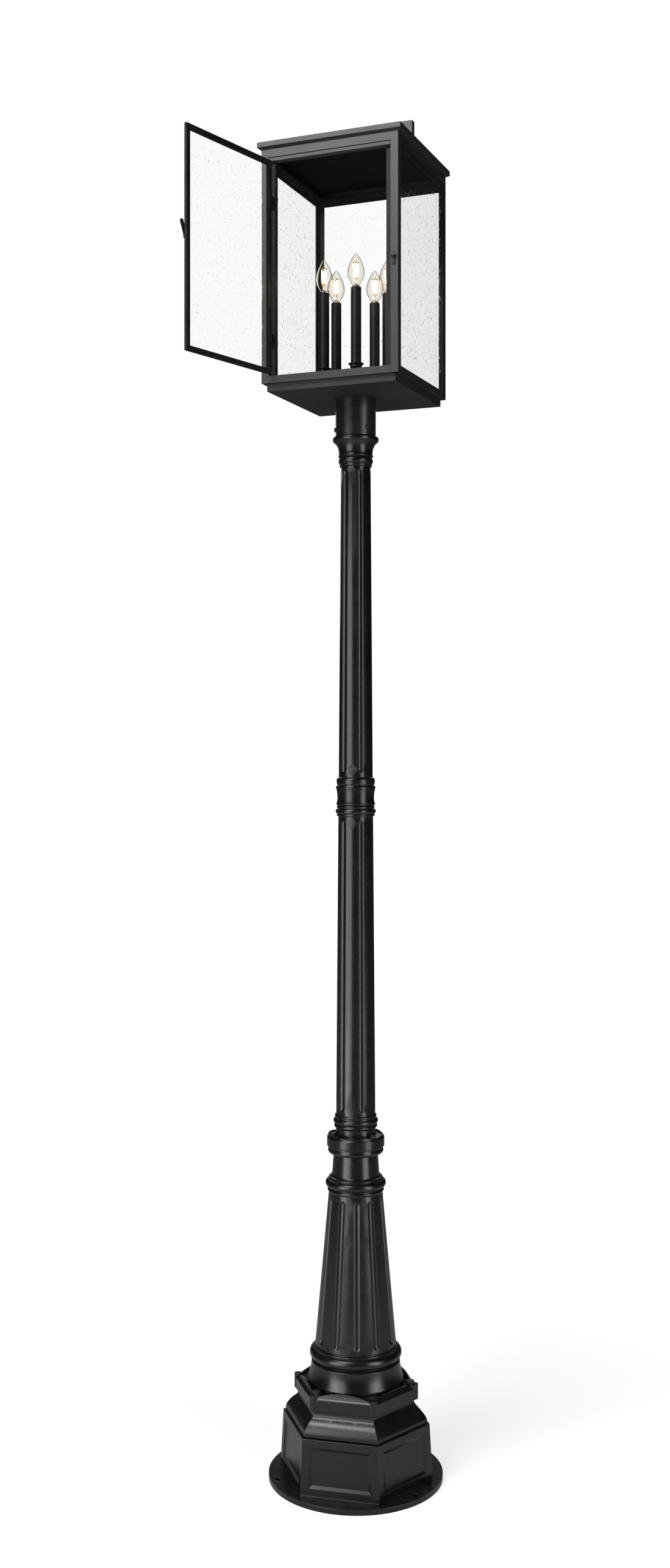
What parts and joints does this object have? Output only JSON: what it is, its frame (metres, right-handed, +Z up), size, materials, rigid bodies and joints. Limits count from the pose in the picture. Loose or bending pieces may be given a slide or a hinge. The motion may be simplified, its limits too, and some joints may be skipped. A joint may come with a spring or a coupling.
{
  "type": "post top lantern",
  "caption": "Square glazed lantern with an open hinged door and candle lamps on a fluted cast post with a hexagonal panelled base.",
  "frame": {"origin": "centre of the anchor bolt circle on the underside of the round base plate, at ground level", "axes": "+Z up along the post; the lantern's doorway faces -Y; +X is to the right of someone who looks into the doorway"},
  "size_m": [0.3715, 0.5837, 2.7603],
  "materials": {
    "cast_black": "satin black paint over cast aluminium",
    "sheet_black": "fine-textured black powder coat",
    "hinge_black": "black powder coat",
    "bolt_black": "satin black",
    "screw_black": "black finish",
    "candle_black": "satin black",
    "holder_black": "moulded phenolic",
    "plated_steel": "nickel plated",
    "seedy_glass": "clear seedy glass",
    "bulb_glass": "clear polished",
    "filament": "glowing warm white"
  },
  "bodies": {
    "post": {"base_casting": "cast_black", "base_cap": "cast_black", "base_cap_bolts": "bolt_black", "pedestal": "cast_black", "flange_bolts": "bolt_black", "lower_post": "cast_black", "upper_post": "cast_black", "post_capital": "cast_black"},
    "lantern": {"back_bottom_rail": "sheet_black", "back_glass": "seedy_glass", "back_top_rail": "sheet_black", "bottom_pan": "sheet_black", "bulb_caps": "plated_steel", "bulb_filaments": "filament", "bulb_glasses": "bulb_glass", "bulb_stems": "bulb_glass", "candle_cups": "candle_black", "candle_sleeves": "candle_black", "ceiling_panel": "sheet_black", "ceiling_screws": "screw_black", "cluster_arms": "candle_black", "cluster_hub": "candle_black", "corner_post_back_left": "sheet_black", "corner_post_back_right": "sheet_black", "corner_post_front_left": "sheet_black", "corner_post_front_right": "sheet_black", "door_header": "sheet_black", "fitter": "sheet_black", "fitter_screws": "screw_black", "floor_plate": "sheet_black", "frame_leaf_screws": "screw_black", "front_bottom_rail": "sheet_black", "glass_clips": "sheet_black", "hinge_frame_leaves": "hinge_black", "hinge_jamb": "sheet_black", "hinge_pins": "screw_black", "keeper": "hinge_black", "keeper_screws": "screw_black", "lamp_holders": "holder_black", "latch_jamb": "sheet_black", "left_bottom_rail": "sheet_black", "left_glass": "seedy_glass", "left_top_rail": "sheet_black", "right_bottom_rail": "sheet_black", "right_glass": "seedy_glass", "right_top_rail": "sheet_black", "roof_cap": "sheet_black", "roof_fascia": "sheet_black", "roof_handle": "sheet_black", "stem_nipple": "plated_steel", "stem_nuts": "screw_black"},
    "door": {"door_frame": "sheet_black", "door_glass": "seedy_glass", "door_bead": "sheet_black", "door_hinge_leaves": "hinge_black", "door_leaf_screws": "screw_black", "latch_rivet": "hinge_black"},
    "latch": {"latch_lever": "hinge_black"}
  },
  "joints": [
    {"name": "lantern_turn", "type": "hinge", "parent": "post", "child": "lantern", "pos_m": [0, 0, 2.1285], "axis": [0, 0, 1], "range_deg": [-180, 180]},
    {"name": "door_swing", "type": "hinge", "parent": "lantern", "child": "door", "pos_m": [-0.1286, -0.1482, 2.2373], "axis": [0, 0, 1], "range_deg": [-66, 104]},
    {"name": "latch_turn", "type": "hinge", "parent": "door", "child": "latch", "pos_m": [-0.18665, -0.3922, 2.4523], "axis": [0.9703, -0.2419, 0], "range_deg": [-110, 70]}
  ]
}
